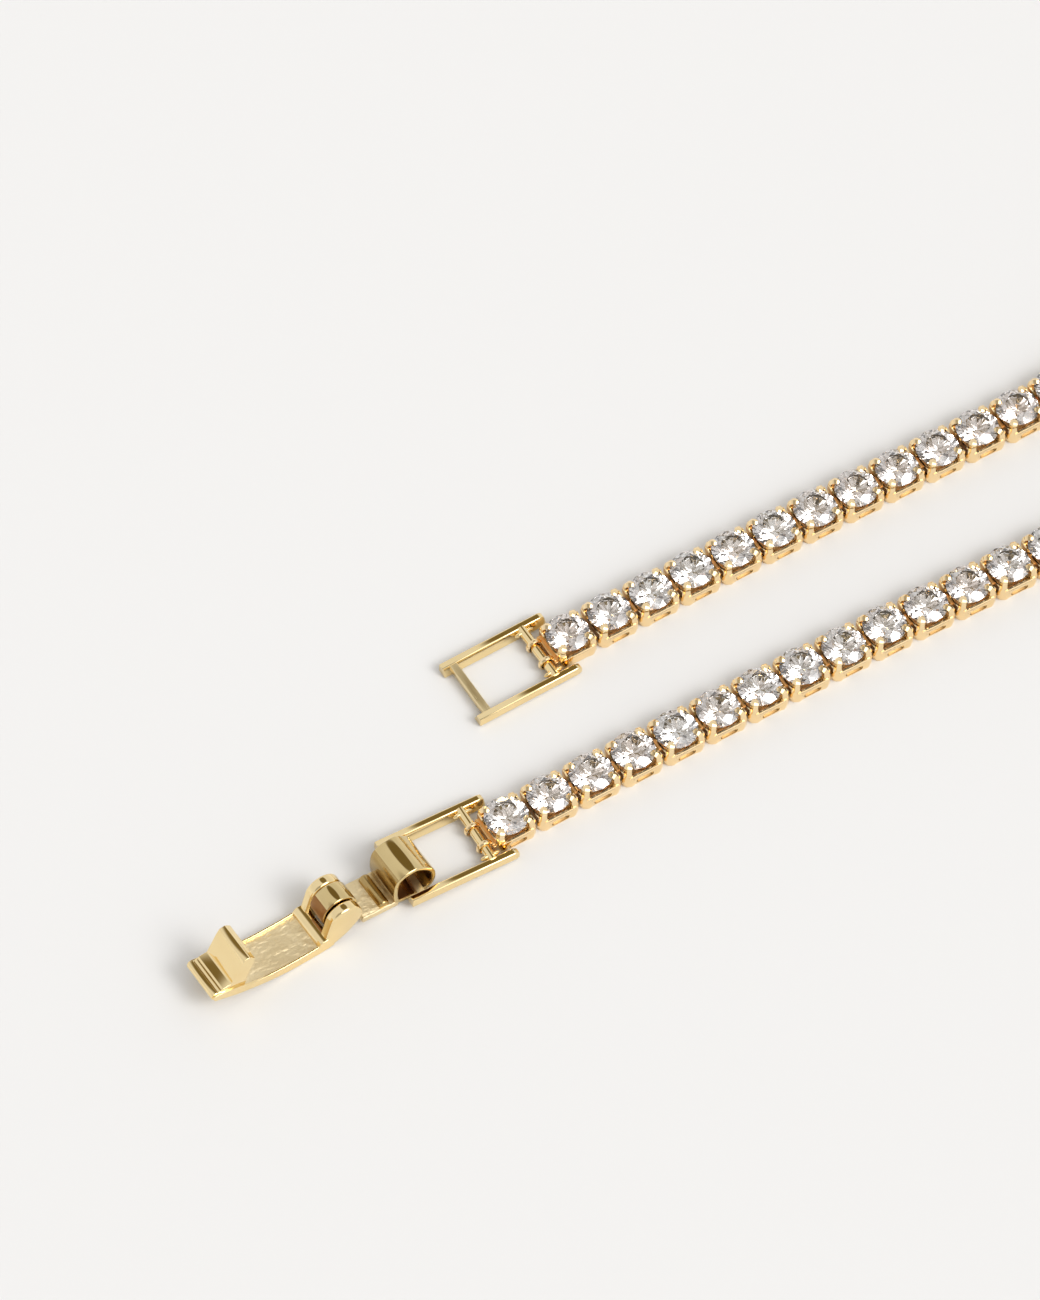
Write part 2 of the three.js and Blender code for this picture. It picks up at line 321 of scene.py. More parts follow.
def merge_into(target: BMesh, source: BMesh, place: Matrix, slot: int = 0) -> None:
    """Add a bmesh to another one, in place, and free it.

    Args:
        target: the bmesh that grows.
        source: the bmesh that is added and freed.
        place: matrix applied to the source.
        slot: material slot given to its faces.
    """
    source.transform(place)
    for face in source.faces:
        face.material_index = max(face.material_index, slot)
    mesh = as_mesh(source, "part")
    target.from_mesh(mesh)
    bpy.data.meshes.remove(mesh)


@dataclass
class Piece:
    """A visible piece: its body, its slot and the CAD nodes it stands for.

    Edges are in mm, angles in degrees.
    """

    name: str
    body: str
    slot: str
    replaces: tuple[str, ...] = ()
    smooth_angle: float = 38.0
    edge: float = 0.0
    edge_angle: float = 35.0

    def finish(self, bm: BMesh, finishes: "tuple[Finish, ...]") -> bpy.types.Object:
        """Turn the bmesh, in mm, into the finished object in metres.

        Args:
            bm: the piece's bmesh in mm, which is freed.
            finishes: its finishes in slot order.

        Returns:
            The finished object.
        """
        bmesh.ops.scale(bm, vec=(MM, MM, MM), verts=bm.verts[:])
        mesh = as_mesh(bm, self.name)
        for finish in finishes:
            mesh.materials.append(finish.material())
        obj = add_object(self.name, mesh)
        if self.smooth_angle > 0.0:
            mesh.shade_smooth()
            mesh.set_sharp_from_angle(angle=math.radians(self.smooth_angle))
        else:
            mesh.shade_flat()
        if self.edge > 0.0:
            bevel = obj.modifiers.new("Edge", "BEVEL")
            bevel.width = self.edge * MM
            bevel.segments = 2
            bevel.limit_method = "ANGLE"
            bevel.angle_limit = math.radians(self.edge_angle)
            bevel.harden_normals = True
            bevel.use_clamp_overlap = True
        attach(obj, self.body)
        if self.replaces:
            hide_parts(*self.replaces)
        LOG.info("%s: %d faces on %s", self.name, len(mesh.polygons), self.body)
        return obj


# ---------------------------------------------------------------- finishes


def add_node(tree: bpy.types.NodeTree, kind: str, **settings: str) -> bpy.types.Node:
    """Add a node to a tree.

    Args:
        tree: the tree that grows.
        kind: the node's type after "ShaderNode".
        settings: the node's own settings.

    Returns:
        The node.
    """
    node = tree.nodes.new(f"ShaderNode{kind}")
    for label, value in settings.items():
        setattr(node, label, value)
    return node


def give(node: bpy.types.Node, values: dict[str | int, object]) -> None:
    """Set constants on a node's own inputs.

    Args:
        node: the node.
        values: constant for each input.
    """
    for label, value in values.items():
        node.inputs[label].default_value = value


def wire(tree: bpy.types.NodeTree, *wires: tuple) -> None:
    """Link nodes.

    Args:
        tree: the tree that holds them.
        wires: (node, output, node, input) of each link.
    """
    for source, output, target, entry in wires:
        tree.links.new(source.outputs[output], target.inputs[entry])


class Surface(Enum):
    """How gold was worked: roughness spread, wave scale, mark scale and share of the marks."""

    POLISHED = (0.03, 420.0, 5200.0, 0.03)
    BRUSHED = (0.16, 700.0, 5200.0, 0.8)
    SATIN = (0.14, 900.0, 3600.0, 0.5)


def polish_group() -> bpy.types.NodeTree:
    """Build the shared polish effect once.

    Returns:
        The group: soft waves and fine marks of polishing as Colour, Roughness and Height.
    """
    name = "PolishMarks"
    if name in bpy.data.node_groups:
        return bpy.data.node_groups[name]
    group = bpy.data.node_groups.new(name, "ShaderNodeTree")
    scales = ("Roughness", "Roughness Spread", "Wave Scale", "Mark Scale", "Mark Share")
    for way, kind, labels in (
        ("INPUT", "Vector", ("Vector",)),
        ("INPUT", "Color", ("Colour", "Deep Colour")),
        ("INPUT", "Float", scales),
        ("OUTPUT", "Color", ("Colour",)),
        ("OUTPUT", "Float", ("Roughness", "Height")),
    ):
        for label in labels:
            group.interface.new_socket(label, in_out=way, socket_type=f"NodeSocket{kind}")
    given = group.nodes.new("NodeGroupInput")
    out = group.nodes.new("NodeGroupOutput")
    waves = add_node(group, "TexNoise")
    marks = add_node(group, "TexNoise")
    tint = add_node(group, "Mix", data_type="RGBA")
    spread = add_node(group, "Math", operation="MULTIPLY_ADD")
    height = add_node(group, "Math", operation="MULTIPLY_ADD")
    give(waves, {"Detail": 2.0})
    give(marks, {"Detail": 3.0})
    wire(
        group,
        (given, "Vector", waves, "Vector"),
        (given, "Vector", marks, "Vector"),
        (given, "Wave Scale", waves, "Scale"),
        (given, "Mark Scale", marks, "Scale"),
        (waves, "Fac", tint, "Factor"),
        (given, "Colour", tint, 6),
        (given, "Deep Colour", tint, 7),
        (tint, 2, out, "Colour"),
        (marks, "Fac", spread, 0),
        (given, "Roughness Spread", spread, 1),
        (given, "Roughness", spread, 2),
        (spread, 0, out, "Roughness"),
        (marks, "Fac", height, 0),
        (given, "Mark Share", height, 1),
        (waves, "Fac", height, 2),
        (height, 0, out, "Height"),
    )
    return group


class Finish:
    """Base of the finishes. Each is built as one material, at its first use."""

    name: str

    def material(self) -> bpy.types.Material:
        """Find or build the material.

        Returns:
            The material.
        """
        if self.name in bpy.data.materials:
            return bpy.data.materials[self.name]
        mat = bpy.data.materials.new(self.name)
        mat.use_nodes = True
        self.paint(mat.node_tree, mat.node_tree.nodes["Principled BSDF"])
        return mat

    def paint(self, tree: bpy.types.NodeTree, shader: bpy.types.Node) -> None:
        """Add the finish's nodes; each finish has its own."""
        raise NotImplementedError


@dataclass(frozen=True)
class GoldFinish(Finish):
    """A gold surface: its two tones, how it was worked and its relief in metres."""

    name: str
    colour: Colour
    deep: Colour
    surface: Surface = Surface.POLISHED
    roughness: float = 0.03
    bump: float = 0.1
    relief: float = 0.00004
    stretch: tuple[float, float, float] = (1.0, 1.0, 1.0)

    def paint(self, tree: bpy.types.NodeTree, shader: bpy.types.Node) -> None:
        """Lay the gold with its polish marks.

        Args:
            tree: the material's tree.
            shader: its shader node.
        """
        where = add_node(tree, "TexCoord")
        mapping = add_node(tree, "Mapping")
        marks = add_node(tree, "Group")
        marks.node_tree = polish_group()
        bump = add_node(tree, "Bump")
        spread, waves, fine, share = self.surface.value
        shader.inputs["Metallic"].default_value = 1.0
        give(mapping, {"Scale": self.stretch})
        give(marks, {"Colour": (*self.colour, 1.0), "Deep Colour": (*self.deep, 1.0)})
        give(marks, {"Roughness": self.roughness, "Roughness Spread": spread})
        give(marks, {"Wave Scale": waves, "Mark Scale": fine, "Mark Share": share})
        give(bump, {"Strength": self.bump, "Distance": self.relief})
        wire(
            tree,
            (where, "Object", mapping, "Vector"),
            (mapping, "Vector", marks, "Vector"),
            (marks, "Colour", shader, "Base Color"),
            (marks, "Roughness", shader, "Roughness"),
            (marks, "Height", bump, "Height"),
            (bump, "Normal", shader, "Normal"),
        )


@dataclass(frozen=True)
class StoneFinish(Finish):
    """Clear cut stone: a strong bend of light, and a painted warm reflection of the gold that
    changes at random by facet.
    """

    name: str = "brilliant_crystal"
    ior: float = 2.2
    clearness: float = 0.95
    roughness: float = 0.0
    pale: Colour = (1.0, 0.99, 0.965)
    painted_gold_reflection: Colour = (1.0, 0.87, 0.78)

    def paint(self, tree: bpy.types.NodeTree, shader: bpy.types.Node) -> None:
        """Make the shader clear and paint on its facets a warm reflection of the gold, in random
        shares.

        Args:
            tree: the material's tree.
            shader: its shader node.
        """
        shader.inputs["Transmission Weight"].default_value = self.clearness
        shader.inputs["Roughness"].default_value = self.roughness
        shader.inputs["IOR"].default_value = self.ior
        facet = add_node(tree, "Attribute", attribute_name="facet")
        tint = add_node(tree, "Mix", data_type="RGBA")
        give(tint, {6: (*self.pale, 1.0), 7: (*self.painted_gold_reflection, 1.0)})
        wire(tree, (facet, "Fac", tint, "Factor"), (tint, 2, shader, "Base Color"))


@dataclass(frozen=True)
class FloorFinish(Finish):
    """Plain pale matt floor with a very faint grain."""

    name: str = "pale_floor"
    colour: Colour = (0.783, 0.777, 0.764)
    shade: float = 0.995
    grain_scale: float = 8.0
    roughness: float = 0.9
    shine: float = 0.1

    def paint(self, tree: bpy.types.NodeTree, shader: bpy.types.Node) -> None:
        """Lay the grain.

        Args:
            tree: the material's tree.
            shader: its shader node.
        """
        shader.inputs["Roughness"].default_value = self.roughness
        shader.inputs["Specular IOR Level"].default_value = self.shine
        where = add_node(tree, "TexCoord")
        grain = add_node(tree, "TexNoise")
        give(grain, {"Scale": self.grain_scale})
        ramp = add_node(tree, "ValToRGB")
        for step, share in zip(ramp.color_ramp.elements, (self.shade, 1.0)):
            step.color = (*(c * share for c in self.colour), 1.0)
        wire(
            tree,
            (where, "Object", grain, "Vector"),
            (grain, "Fac", ramp, "Fac"),
            (ramp, "Color", shader, "Base Color"),
        )


POLISHED_GOLD = GoldFinish("clasp_polish", (0.97, 0.79, 0.45), (0.89, 0.68, 0.34), roughness=0.035)
SETTING_GOLD = GoldFinish("link_polish", (0.98, 0.78, 0.47), (0.94, 0.70, 0.38), roughness=0.035)
# A darker copy of the clasp gold: painted shade on the curl and the middle knuckle.
CURL_SHADE_GOLD = GoldFinish("curl_painted_shade", (0.82, 0.65, 0.34), (0.64, 0.48, 0.21), roughness=0.05)
# Darker satin golds of painted shade: link end walls and cups, the tongue's folds, lip and cavity,
# and the links' grooves and slots.
INNER_SHADE_GOLD, FOLD_GOLD, CAVITY_GOLD, RECESS_SHADE_GOLD = (
    GoldFinish(name, colour, deep, Surface.SATIN, roughness)
    for name, colour, deep, roughness in (
        ("link_painted_shade", (0.93, 0.62, 0.29), (0.72, 0.40, 0.14), 0.22),
        ("fold_shade", (0.58, 0.43, 0.19), (0.40, 0.26, 0.09), 0.14),
        ("cavity_shade", (0.40, 0.21, 0.08), (0.24, 0.10, 0.03), 0.25),
        ("slot_painted_shade", (0.34, 0.26, 0.16), (0.18, 0.12, 0.06), 0.3),
    )
)
BRUSHED_GOLD = GoldFinish(
    "bar_brushed",
    (0.93, 0.78, 0.48),
    (0.72, 0.56, 0.28),
    Surface.BRUSHED,
    roughness=0.22,
    bump=0.5,
    stretch=(1.0, 0.12, 1.0),
)
SATIN_GOLD = GoldFinish(
    "tray_satin",
    (1.0, 0.86, 0.57),
    (0.72, 0.57, 0.32),
    Surface.SATIN,
    roughness=0.43,
    bump=1.0,
    relief=0.00016,
    stretch=(0.6, 1.0, 1.0),
)


# ---------------------------------------------------------------- chain


@dataclass(frozen=True)
class Stretch:
    """A stretch of the route: its length in mm and its left turn in degrees."""

    length: float
    turn: float


@dataclass
class Route:
    """The line the chain lies on, from the hook end round to the catch end."""

    start: Vector
    stretches: tuple[Stretch, ...] = (
        Stretch(49.7, -2.0),
        Stretch(39.7, -55.0),
        Stretch(212.6, 291.0),
        Stretch(39.7, -55.0),
        Stretch(38.1, 1.0),
    )

    def length(self) -> float:
        """Return the whole length in mm."""
        return sum(s.length for s in self.stretches)

    def place(self, distance: float) -> Matrix:
        """Find the place and heading at a distance along the route.

        Args:
            distance: mm from the first link's centre.

        Returns:
            The matrix of a link there, in mm.
        """
        x = y = heading = 0.0
        left = distance
        for stretch in self.stretches:
            bend = math.radians(stretch.turn) / stretch.length
            run = min(left, stretch.length)
            end = heading + bend * run
            x += (math.sin(end) - math.sin(heading)) / bend
            y += (math.cos(heading) - math.cos(end)) / bend
            heading = end
            left -= run
            if left <= 0.0:
                break
        at = Matrix.Translation(self.start + Vector((x, y, 0.0)))
        return at @ Matrix.Rotation(heading, 4, "Z")


@dataclass(frozen=True)
class ClawRing:
    """A cross-section of a claw on the link's diagonal.

    Attributes:
        reach: distance from the link's middle, in mm.
        height: height in mm.
        depth: radius towards the stone, in mm.
        breadth: radius across the diagonal, in mm.
        lean: lean of the section towards the stone, in degrees.
        ridge: how far the outer half is drawn into a ridge, from 0 to 1.
    """

    reach: float
    height: float
    depth: float
    breadth: float
    lean: float = 0.0
    ridge: float = 0.0

    def outline(self, sides: int) -> list[Vector]:
        """Place the corners of the section.

        Args:
            sides: corners of the section.

        Returns:
            The corners in mm, for the claw on +X.
        """
        turn = Matrix.Rotation(math.radians(-self.lean), 3, "Y")
        corners = []
        for k in range(sides):
            out, across = math.cos(math.tau * k / sides), math.sin(math.tau * k / sides)
            if out > 0.0:
                out = (1.0 - self.ridge) * out + self.ridge * (1.0 - abs(across))
            corner = Vector((out * self.depth, across * self.breadth, 0.0))
            corners.append(Vector((self.reach, 0.0, self.height)) + turn @ corner)
        return corners


class LinkSlot(IntEnum):
    """Finishes of a link, in slot order; the last two hold painted shade."""

    METAL = 0
    RECESS_SHADE = 1
    INNER_SHADE = 2


@dataclass
class Setting:
    """One link: an open box with railed, slotted sides and four claws on round corner posts.

    Sizes in mm.
    """

    side: float = 3.28
    corner: float = 0.34
    rim: float = 1.2
    wall: float = 0.13
    floor: float = 0.12
    foot_round: float = 0.1
    bowl_share: float = 0.55
    end_base: float = 0.22
    end_rise: float = 0.18
    end_cuts: int = 7
    end_power: int = 3
    end_edge: float = 1.0
    end_facing: float = 0.95
    rail_height: float = 0.2
    rail_depth: float = 0.06
    rail_round: float = 0.9
    panel_area: float = 0.1
    groove_height: float = 0.09
    groove_depth: float = 0.09
    slot_length: float = 1.45
    slot_height: float = 0.44
    slot_level: float = 0.42
    slot_depth: float = 0.16
    slot_inset: float = 0.08
    slot_round: float = 0.45
    bar_bite: float = 0.25
    bar_half: float = 0.5
    bar_low: float = 0.48
    bar_high: float = 0.92
    bar_edge: float = 0.08
    post_sides: int = 10
    claw: tuple[ClawRing, ...] = (
        ClawRing(1.52, 0.0, 0.58, 0.60),
        ClawRing(1.57, 0.3, 0.60, 0.64),
        ClawRing(1.68, 0.75, 0.50, 0.54),
        ClawRing(1.80, 1.15, 0.36, 0.42, 0.0, 0.2),
        ClawRing(1.85, 1.5, 0.25, 0.35, 4.0, 0.5),
        ClawRing(1.82, 1.78, 0.21, 0.33, 20.0, 0.9),
        ClawRing(1.69, 1.94, 0.18, 0.31, 46.0, 1.0),
        ClawRing(1.50, 2.0, 0.16, 0.27, 68.0, 1.0),
        ClawRing(1.34, 2.0, 0.12, 0.20, 82.0, 1.0),
        ClawRing(1.25, 1.98, 0.05, 0.10, 90.0, 1.0),
    )

    def cup(self, slotted: bool) -> BMesh:
        """Build the box of one link.

        Args:
            slotted: whether the long sides have their slots.

        Returns:
            The cup in mm, about the link's own centre.
        """
        half = self.side / 2
        bm = bmesh.new()
        bmesh.ops.create_cube(bm, size=1.0)
        bmesh.ops.scale(bm, vec=(self.side, self.side, self.rim), verts=bm.verts[:])
        bmesh.ops.translate(bm, vec=(0.0, 0.0, self.rim / 2), verts=bm.verts[:])
        upright = [e for e in bm.edges if abs(e.verts[0].co.z - e.verts[1].co.z) > self.rim / 2]
        soften(bm, upright, self.corner, 1)
        low = [e for e in bm.edges if all(v.co.z < TOUCH for v in e.verts)]
        soften(bm, low, self.foot_round, 2)
        self.cut_sides(bm, slotted)
        top = max(bm.faces, key=lambda f: f.calc_area() * (f.normal.z > FACING))
        bmesh.ops.inset_region(bm, faces=[top], thickness=self.wall, use_even_offset=True)
        for v in extrude(bm, [top])[0]:
            v.co = (v.co.x * self.bowl_share, v.co.y * self.bowl_share, self.floor)
        self.raise_ends(bm, half)
        face_outwards(bm)
        # Paint shade, a deeper orange-brown gold, on the outer faces of the end walls and inside
        # the cup.
        for f in bm.faces:
            middle = f.calc_center_median()
            reach = max(abs(middle.x), abs(middle.y))
            outside = abs(f.normal.x) > self.end_facing and abs(middle.x) > half - TOUCH
            inside = reach < half - self.wall and middle.z > self.floor / 2
            if (outside or inside) and f.material_index == LinkSlot.METAL:
                f.material_index = LinkSlot.INNER_SHADE
        return bm

    def side_faces(self, bm: BMesh, sign: float) -> list[BMFace]:
        """List a long side's rail and panel, from the lowest up.

        Args:
            bm: the link's bmesh.
            sign: side of the link, 1 for +Y.

        Returns:
            The faces.
        """
        flat = (f for f in bm.faces if f.normal.y * sign > FACING)
        large = [f for f in flat if f.calc_area() > self.panel_area]
        return sorted(large, key=lambda f: f.calc_center_median().z)

    def split(self, bm: BMesh, face: BMFace, level: float) -> None:
        """Cut a face in two at a height.

        Args:
            bm: the link's bmesh.
            face: the face to cut.
            level: height of the cut in mm.
        """
        geom = [face, *face.edges, *face.verts]
        plane = {"plane_co": (0.0, 0.0, level), "plane_no": (0.0, 0.0, 1.0)}
        bmesh.ops.bisect_plane(bm, geom=geom, dist=WELD, **plane)

    def sink(self, bm: BMesh, face: BMFace, sign: float, depth: float) -> list[BMVert]:
        """Sink a face into its side and paint it and its new walls with shade.

        Args:
            bm: the link's bmesh.
            face: the face to sink.
            sign: side of the link, 1 for +Y.
            depth: depth in mm.

        Returns:
            The sunk corners.
        """
        moved, faces = extrude(bm, [face])
        # The sunk face and its walls take the dark gold of painted shade.
        for made in faces:
            made.material_index = LinkSlot.RECESS_SHADE
        bmesh.ops.translate(bm, verts=moved, vec=(0.0, -sign * depth, 0.0))
        return moved

    def cut_sides(self, bm: BMesh, slotted: bool) -> None:
        """Give each long side its rail and, if asked, its oval slot.

        Args:
            bm: the link's bmesh.
            slotted: whether to sink the slots.
        """
        for sign in (-1.0, 1.0):
            wall = max(bm.faces, key=lambda f: f.calc_area() * (f.normal.y * sign > FACING))
            self.split(bm, wall, self.rim - self.rail_height)
            panel, *_, rail = self.side_faces(bm, sign)
            self.cut_groove(bm, panel, sign)
            moved = set(extrude(bm, [rail])[0])
            bmesh.ops.translate(bm, verts=list(moved), vec=(0.0, sign * self.rail_depth, 0.0))
            front = [e for e in bm.edges if all(v in moved for v in e.verts)]
            soften(bm, front, self.rail_depth * self.rail_round, 2)
            if slotted:
                self.cut_slot(bm, self.side_faces(bm, sign)[0], sign)

    def cut_groove(self, bm: BMesh, panel: BMFace, sign: float) -> None:
        """Sink the fine line under the rail.

        Args:
            bm: the link's bmesh.
            panel: the face below the rail, which shrinks.
            sign: side of the link, 1 for +Y.
        """
        level = self.rim - self.rail_height - self.groove_height
        self.split(bm, panel, level)
        strip = next(
            f
            for f in bm.faces
            if f.normal.y * sign > FACING
            and level < f.calc_center_median().z < level + self.groove_height
        )
        self.sink(bm, strip, sign, self.groove_depth)

    def cut_slot(self, bm: BMesh, panel: BMFace, sign: float) -> None:
        """Sink an oval slot into a side panel.

        Args:
            bm: the link's bmesh.
            panel: the panel's face.
            sign: side of the link, 1 for +Y.
        """
        bmesh.ops.inset_region(bm, faces=[panel], thickness=self.slot_inset, use_even_offset=True)
        middle = panel.calc_center_median()
        for v in panel.verts:
            up = math.copysign(1.0, v.co.z - middle.z)
            v.co.x = math.copysign(1.0, v.co.x) * self.slot_length / 2
            v.co.z = self.slot_level + up * self.slot_height / 2
        corners = [
            e
            for v in self.sink(bm, panel, sign, self.slot_depth)
            for e in v.link_edges
            if abs((e.verts[0].co - e.verts[1].co).normalized().y) > FACING
        ]
        soften(bm, corners, self.slot_height * self.slot_round, 3)

    def raise_ends(self, bm: BMesh, half: float) -> None:
        """Curve the rim of the two end walls up towards their claws.

        Args:
            bm: the link's bmesh.
            half: half the link's side in mm.
        """
        inner = half - self.wall - 2 * TOUCH
        ends = [
            e
            for e in bm.edges
            if all(v.co.z > self.rim - TOUCH and abs(v.co.x) > inner for v in e.verts)
            and abs(e.verts[0].co.y - e.verts[1].co.y) > self.end_edge
        ]
        bmesh.ops.subdivide_edges(bm, edges=ends, cuts=self.end_cuts, use_grid_fill=True)
        for v in bm.verts:
            if v.co.z > self.rim - TOUCH and abs(v.co.x) > inner:
                share = min(1.0, abs(v.co.y) / (half - self.corner))
                v.co.z += self.end_base + self.end_rise * share**self.end_power

    def post(self) -> BMesh:
        """Build one round corner post that narrows upwards and folds over the stone as a claw.

        Returns:
            The post in mm, for the corner on +X.
        """
        bm = bmesh.new()
        foot = self.claw[0].outline(self.post_sides)
        cap = bm.faces.new([bm.verts.new(corner) for corner in foot])
        for number, ring in enumerate(self.claw[1:]):
            cap = extrude(bm, [cap], keep=number == 0)[1][0]
            for v, corner in zip(cap.verts, ring.outline(self.post_sides)):
                v.co = corner
        return face_outwards(bm)

    def bar(self, pitch: float) -> BMesh:
        """Build the knuckle bar between this link and the next.

        Args:
            pitch: distance between link centres in mm.

        Returns:
            The bar in mm, about the middle between the links.
        """
        reach = (pitch - self.side) / 2 + self.bar_bite
        low = Vector((-reach, -self.bar_half, self.bar_low))
        return box_between(low, Vector((reach, self.bar_half, self.bar_high)), self.bar_edge)

    def mesh(self, slotted: bool) -> bpy.types.Mesh:
        """Join the cup and its four claws.

        Args:
            slotted: whether the long sides have their slots.

        Returns:
            The mesh of one link in mm, to be repeated.
        """
        whole = self.cup(slotted)
        for quarter in range(4):
            turn = Matrix.Rotation((quarter + 0.5) * math.pi / 2, 4, "Z")
            merge_into(whole, self.post(), turn)
        return as_mesh(whole, "setting")


def around(radius: float, angle: float, level: float) -> Vector:
    """Return the point at an angle in radians round the Z axis."""
    return Vector((radius * math.cos(angle), radius * math.sin(angle), level))


@dataclass
class Brilliant:
    """Round brilliant stone. Sizes in mm, angles in degrees."""

    radius: float = 1.64
    girdle_level: float = 1.70
    girdle_height: float = 0.05
    table: float = 0.58
    crown_angle: float = 31.0
    pavilion_angle: float = 43.5
    star: float = 0.5
    lower_half: float = 0.25
    culet: float = 0.02
    same_facet: float = 1.2

    def corners(self) -> list[Vector]:
        """List the stone's corners, from table to culet.

        Returns:
            Corner points in mm, about the link's centre.
        """
        r = self.radius
        half_step = math.cos(math.pi / 8)
        crown = math.tan(math.radians(self.crown_angle))
        pavilion = math.tan(math.radians(self.pavilion_angle))
        high = self.girdle_level + self.girdle_height / 2
        low = self.girdle_level - self.girdle_height / 2
        table = self.table * r
        middle = table * half_step + self.star * (r - table * half_step)
        below = self.lower_half * r
        points = []
        for i in range(8):
            at = i * math.pi / 4
            between = at + math.pi / 8
            points.append(around(table, at, high + (r - table) * crown))
            points.append(around(middle, between, high + (r - middle * half_step) * crown))
            points.append(around(below, between, low - (r - below * half_step) * pavilion))
        for i in range(16):
            points += [around(r, i * math.pi / 8, level) for level in (high, low)]
        points.append(Vector((0.0, 0.0, low - (r - self.culet) * pavilion)))
        return points

    def mesh(self) -> bpy.types.Mesh:
        """Build the stone as the hull of its corners.

        Returns:
            The mesh of one stone in mm, to be repeated.
        """
        bm = bmesh.new()
        for point in self.corners():
            bm.verts.new(point)
        bmesh.ops.convex_hull(bm, input=bm.verts[:])
        limit = math.radians(self.same_facet)
        bmesh.ops.dissolve_limit(bm, angle_limit=limit, verts=bm.verts[:], edges=bm.edges[:])
        return as_mesh(face_outwards(bm), "brilliant")


@dataclass(frozen=True)
class LinkRun:
    """A run of links that one CAD node holds."""

    node: str
    links: int


@dataclass
class Chain:
    """The whole line of set stones, in the CAD's runs of links."""

    runs: tuple[LinkRun, ...] = (
        LinkRun("end_link_hook", 1),
        LinkRun("links_hook_strand", 13),
        *(LinkRun(f"links_bow_{number}", 14) for number in range(1, 7)),
        LinkRun("links_catch_strand", 9),
        LinkRun("end_link_catch", 1),
    )
    link_side: float = 3.3
    eye_x: float = -2.35
    eye_level: float = 0.72
    eye_radius: float = 0.545
    eye_wire: float = 0.125
    eye_breadth: float = 1.5
    eye_offset: float = 0.85
    eye_steps: tuple[int, int] = (10, 20)
    plates: tuple[tuple[float, float, float], ...] = ((0.3, 0.86, 1.35), (0.84, 0.98, 1.2))
    plate_edge: float = 0.06
    plate_bite: float = 0.2
    stone_tilt: float = 1.5
    setting: Setting = field(default_factory=Setting)
    stone: Brilliant = field(default_factory=Brilliant)
    seed: int = 7

    def route(self) -> Route:
        """Lay the route from the CAD's first link."""
        low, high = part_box("end_link_hook")
        start = Vector((high.x / MM - self.link_side / 2, (low.y + high.y) / 2 / MM, low.z / MM))
        return Route(start)

    def eyes(self) -> BMesh:
        """Build the knuckles and plates by which an end link holds its frame's cross bar.

        Returns:
            The knuckles in mm, about the end link's centre.
        """
        whole = bmesh.new()
        round_wire, round_bar = self.eye_steps
        for side in (-1.0, 1.0):
            bm = bmesh.new()
            bmesh.ops.create_circle(bm, segments=round_wire, radius=self.eye_wire)
            flat = Matrix.Diagonal((1.0, self.eye_breadth, 1.0, 1.0))
            bm.transform(Matrix.Translation((self.eye_radius, 0.0, 0.0)) @ flat)
            bmesh.ops.spin(
                bm,
                geom=bm.verts[:] + bm.edges[:],
                cent=(0.0, 0.0, 0.0),
                axis=(0.0, 1.0, 0.0),
                dvec=(0.0, 0.0, 0.0),
                angle=math.tau,
                steps=round_bar,
                use_merge=True,
                use_duplicate=False,
            )
            bmesh.ops.remove_doubles(bm, verts=bm.verts[:], dist=WELD)
            place = Matrix.Translation((self.eye_x, side * self.eye_offset, self.eye_level))
            merge_into(whole, face_outwards(bm), place)
        start = self.eye_x + self.eye_radius - self.plate_edge
        for low, high, reach in self.plates:
            end = Vector((-self.link_side / 2 + self.plate_bite, reach, high))
            plate = box_between(Vector((start, -reach, low)), end, self.plate_edge)
            # The plates take the links' painted shade.
            merge_into(whole, plate, Matrix.Identity(4), LinkSlot.INNER_SHADE)
        return whole

    def build(self) -> list[bpy.types.Object]:
        """Build every run's settings and stones.

        Returns:
            The finished objects.
        """
        route = self.route()
        pitch = route.length() / (sum(run.links for run in self.runs) - 1)
        ends = {
            "end_link_hook": route.place(0.0),
            "end_link_catch": route.place(route.length()) @ Matrix.Rotation(math.pi, 4, "Z"),
        }
        rng = random.Random(self.seed)
        plain = self.setting.mesh(slotted=False)
        slotted = self.setting.mesh(slotted=True)
        stone = self.stone.mesh()
        made = []
        number = 0
        for run in self.runs:
            metal = bmesh.new()
            stones = bmesh.new()
            for k in range(run.links):
                place = route.place(number * pitch)
                add_copy(metal, plain if run.node == "end_link_catch" else slotted, place)
                turn = Matrix.Rotation(rng.uniform(0.0, math.tau), 4, "Z")
                lean = rng.uniform(-self.stone_tilt, self.stone_tilt)
                tilt = Matrix.Rotation(math.radians(lean), 4, "X")
                add_copy(stones, stone, place @ tilt @ turn)
                if k < run.links - 1:
                    merge_into(metal, self.setting.bar(pitch), route.place((number + 0.5) * pitch))
                number += 1
            if run.node in ends:
                merge_into(metal, self.eyes(), ends[run.node])
            piece = Piece(f"{run.node}_settings", "chain", "stone_set_gold", (run.node,))
            made.append(piece.finish(metal, (SETTING_GOLD, RECESS_SHADE_GOLD, INNER_SHADE_GOLD)))
            # Each facet takes a random share of the painted reflection of the gold.
            facets = stones.faces.layers.float.new("facet")
            for face in stones.faces:
                face[facets] = rng.random()
            gems = Piece(f"{run.node}_stones", "chain", "stone_set_gold", smooth_angle=0.0)
            made.append(gems.finish(stones, (StoneFinish(),)))
        for mesh in (plain, slotted, stone):
            bpy.data.meshes.remove(mesh)
        return made


def add_copy(target: BMesh, mesh: bpy.types.Mesh, place: Matrix) -> None:
    """Add a copy of a mesh, in place, to a bmesh.

    Args:
        target: the bmesh that grows.
        mesh: the mesh to copy.
        place: matrix applied to the copy.
    """
    before = len(target.verts)
    target.from_mesh(mesh)
    target.verts.ensure_lookup_table()
    bmesh.ops.transform(target, matrix=place, verts=target.verts[before:])


# ---------------------------------------------------------------- clasp


